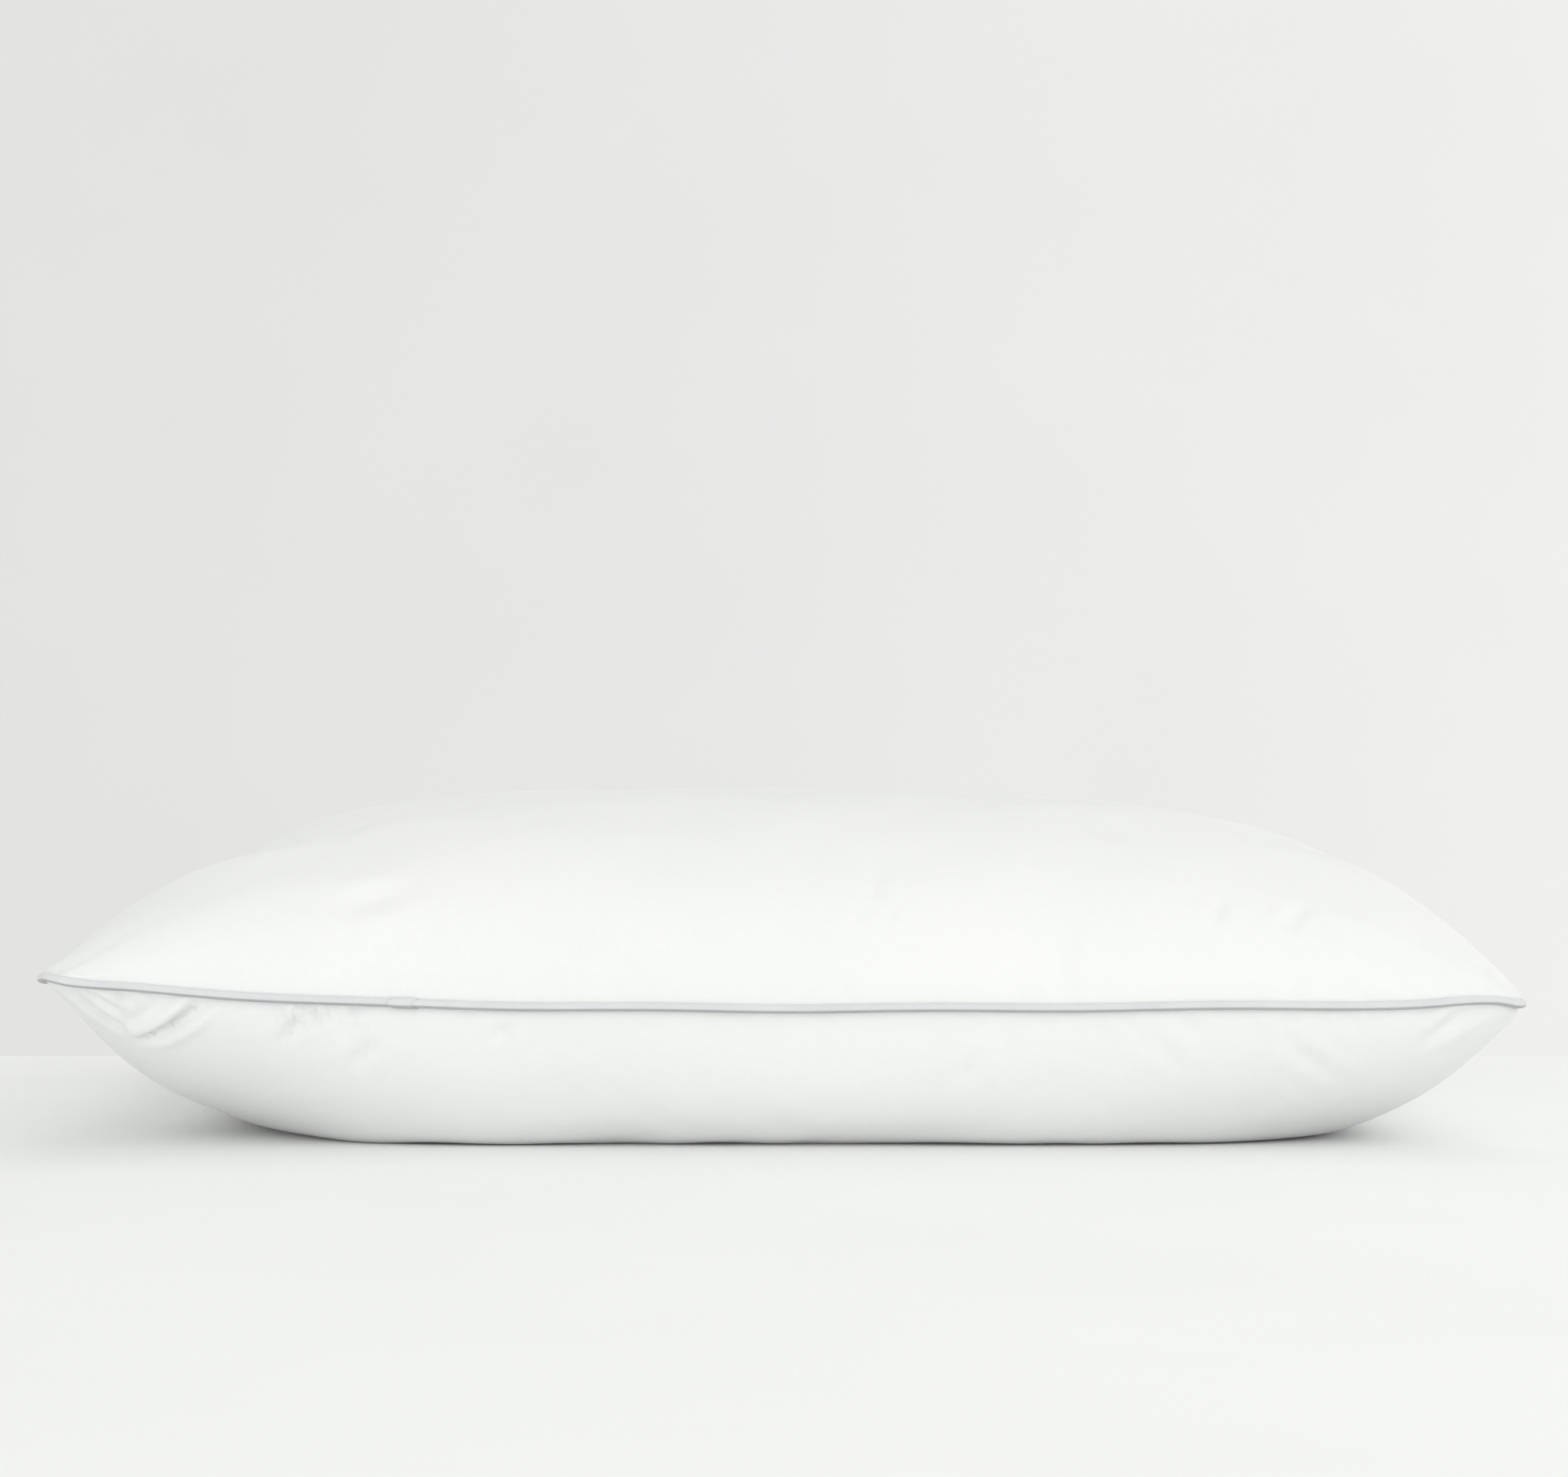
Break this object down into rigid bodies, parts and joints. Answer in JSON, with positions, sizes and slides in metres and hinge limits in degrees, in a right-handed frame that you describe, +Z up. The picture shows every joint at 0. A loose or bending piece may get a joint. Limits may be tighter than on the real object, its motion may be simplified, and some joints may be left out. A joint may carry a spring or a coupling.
{
  "type": "bed pillow",
  "caption": "Plump rectangular bed pillow with piped seams: two cotton panels sewn round a fibre filling, drawn in between its pointed corners, lying flat.",
  "frame": {"origin": "centre of the pillow's plan, on the surface it lies on", "axes": "+X along the long sides, +Y from the front long side (the one with the piping joint) to the rear one (the one with the label), +Z up through the crown"},
  "size_m": [0.6398, 0.4866, 0.154],
  "materials": {
    "ticking": "matte",
    "fibre": "matte",
    "satin_strip": "satin",
    "cord": "matte",
    "thread": "satin",
    "ribbon": "satin"
  },
  "bodies": {
    "pillow": {"top_panel": "ticking", "bottom_panel": "ticking", "fibre_fill": "fibre", "piping_cover": "satin_strip", "piping_cord": "cord", "piping_join": "satin_strip", "seam_stitching": "thread", "closing_stitching": "thread", "overlock_stitching": "thread"},
    "label": {"care_label": "ribbon"}
  },
  "joints": [
    {"name": "label_flap", "type": "hinge", "parent": "pillow", "child": "label", "pos_m": [0.04, 0.22688, 0.0605], "axis": [1, 0, 0], "range_deg": [-4, 85]}
  ]
}
